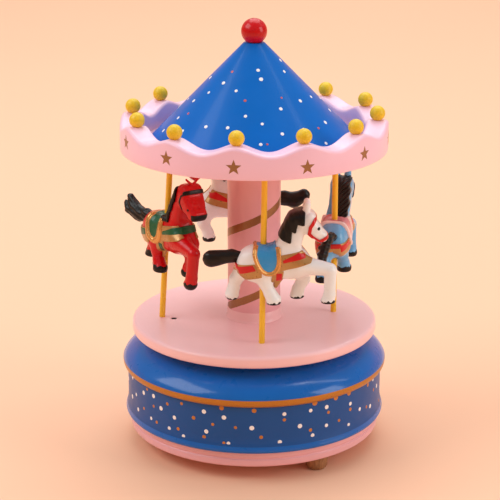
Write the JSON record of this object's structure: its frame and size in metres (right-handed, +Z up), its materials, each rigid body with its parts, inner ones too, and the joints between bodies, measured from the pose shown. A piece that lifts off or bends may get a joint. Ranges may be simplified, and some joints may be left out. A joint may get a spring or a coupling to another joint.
{
  "type": "carousel music box",
  "caption": "Wooden carousel music box: a scalloped canopy with horses on poles turns on a round base that holds a spring-driven cylinder movement.",
  "frame": {"origin": "on the surface that the feet stand on, on the carousel's axis", "axes": "+Z up along the carousel's axis; -Y towards the front, where the white horse runs to +X"},
  "size_m": [0.1118, 0.1118, 0.1801],
  "materials": {
    "blue_paint": "gloss painted wood",
    "pink_paint": "satin painted wood",
    "yellow_paint": "matt painted wood",
    "red_paint": "gloss painted wood",
    "pole_paint": "gloss painted wood",
    "natural_wood": "varnished",
    "horse_red": "hand painted",
    "horse_white": "hand painted",
    "horse_blue": "hand painted",
    "brass": "machined",
    "steel": "machined",
    "spring_steel": "blued",
    "zinc": "die cast",
    "nylon": "plain"
  },
  "bodies": {
    "base": {"base_drum": "blue_paint", "bottom_plate": "pink_paint", "foot_1": "natural_wood", "foot_2": "natural_wood", "foot_3": "natural_wood", "bottom_plate_screws": "steel", "deck_bush": "brass", "thrust_washer": "nylon", "bedplate": "zinc", "bedplate_screws": "steel", "spring_barrel": "steel", "mainspring": "spring_steel", "comb_block": "zinc", "comb": "steel", "cylinder_bracket_inner": "zinc", "cylinder_bracket_outer": "zinc", "governor_bracket": "zinc", "movement_screws": "steel"},
    "carousel": {"turntable_disc": "pink_paint", "winding_arbor": "steel", "ratchet_wheel": "steel", "arbor_clip": "spring_steel", "hub_flange": "brass", "hub_screws": "steel", "column": "pink_paint", "pole_1": "pole_paint", "pole_2": "pole_paint", "pole_3": "pole_paint", "pole_4": "pole_paint", "horse_red": "horse_red", "horse_white_front": "horse_white", "horse_blue": "horse_blue", "horse_white_rear": "horse_white", "canopy_deck": "pink_paint", "crown_ring": "pink_paint", "roof_cone": "blue_paint", "roof_finial": "red_paint", "crown_bead_01": "yellow_paint", "crown_bead_02": "yellow_paint", "crown_bead_03": "yellow_paint", "crown_bead_04": "yellow_paint", "crown_bead_05": "yellow_paint", "crown_bead_06": "yellow_paint", "crown_bead_07": "yellow_paint", "crown_bead_08": "yellow_paint", "crown_bead_09": "yellow_paint", "crown_bead_10": "yellow_paint", "crown_bead_11": "yellow_paint", "crown_bead_12": "yellow_paint"},
    "great_wheel_body": {"great_wheel": "brass", "click_pivot": "steel"},
    "click_body": {"click": "spring_steel"},
    "cylinder_body": {"music_cylinder": "brass", "cylinder_pins": "brass", "cylinder_arbor": "steel", "cylinder_wheel": "brass"},
    "governor_body": {"governor_arbor": "steel", "worm_wheel": "brass"},
    "fan_body": {"worm_shaft": "steel", "air_fan": "brass"}
  },
  "joints": [
    {"name": "carousel_spin", "type": "hinge", "parent": "base", "child": "carousel", "pos_m": [0, 0, 0.0481], "axis": [0, 0, 1], "continuous": true},
    {"name": "great_wheel_spin", "type": "hinge", "parent": "base", "child": "great_wheel_body", "pos_m": [0, 0, 0.0217], "axis": [0, 0, 1], "continuous": true},
    {"name": "click_lift", "type": "hinge", "parent": "great_wheel_body", "child": "click_body", "pos_m": [-0.00349, -0.00958, 0.0197], "axis": [0, 0, 1], "range_deg": [0, 14], "stiffness_Nm_per_rad": 0.0002, "springref_deg": -5.73},
    {"name": "cylinder_spin", "type": "hinge", "parent": "base", "child": "cylinder_body", "pos_m": [0.0228, 0, 0.02805], "axis": [1, 0, 0], "continuous": true},
    {"name": "governor_spin", "type": "hinge", "parent": "base", "child": "governor_body", "pos_m": [0.0333, -0.01125, 0.02805], "axis": [1, 0, 0], "continuous": true},
    {"name": "fan_spin", "type": "hinge", "parent": "base", "child": "fan_body", "pos_m": [0.0347, -0.01867, 0.0267], "axis": [0, 0, 1], "continuous": true}
  ],
  "couplings": [
    {"joint": "great_wheel_spin", "follows": "carousel_spin", "ratio": 1},
    {"joint": "cylinder_spin", "follows": "carousel_spin", "ratio": 2.6667},
    {"joint": "governor_spin", "follows": "carousel_spin", "ratio": -10.667},
    {"joint": "fan_spin", "follows": "carousel_spin", "ratio": -256}
  ]
}
